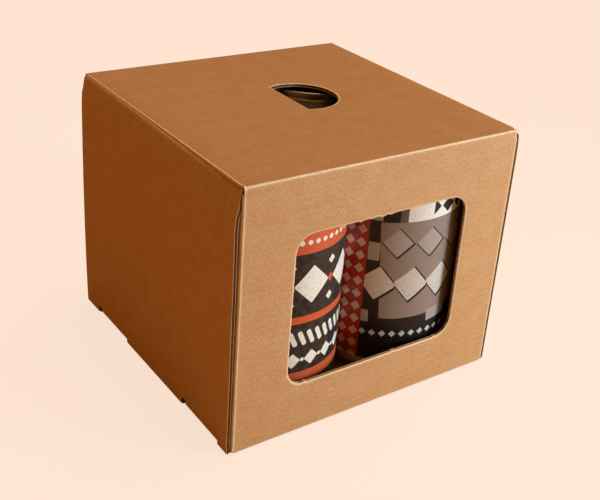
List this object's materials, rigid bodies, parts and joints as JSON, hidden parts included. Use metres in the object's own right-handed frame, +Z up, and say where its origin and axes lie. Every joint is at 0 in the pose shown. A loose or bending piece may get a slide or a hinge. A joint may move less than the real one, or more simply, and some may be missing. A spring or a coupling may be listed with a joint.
{
  "type": "beverage box",
  "caption": "Windowed corrugated carry box for drinks cans, with rolled double side walls, a hinged front panel and a D-shaped hand hole in the lid.",
  "frame": {"origin": "middle of the base, on the ground", "axes": "+Z up, the windowed front panel faces -Y, +X to the right of someone facing the window"},
  "size_m": [0.1452, 0.1408, 0.12],
  "materials": {
    "kraft_board": "matt unbleached kraft liner",
    "can_print": "printed satin can",
    "can_metal": "bright drawn aluminium"
  },
  "bodies": {
    "box": {"carton": "kraft_board", "can_front_left": "can_print", "can_front_right": "can_print", "can_back_left": "can_metal", "can_back_right": "can_metal"},
    "front_panel": {"front_panel": "kraft_board"},
    "hand_flap": {"hand_flap": "kraft_board"}
  },
  "joints": [
    {"name": "front_panel_hinge", "type": "hinge", "parent": "box", "child": "front_panel", "pos_m": [0, -0.0699, 0.1195], "axis": [-1, 0, 0], "range_deg": [0, 110]},
    {"name": "hand_flap_hinge", "type": "hinge", "parent": "box", "child": "hand_flap", "pos_m": [-0.0005, 0.0045, 0.1195], "axis": [0, -1, 0], "range_deg": [0, 20]}
  ]
}
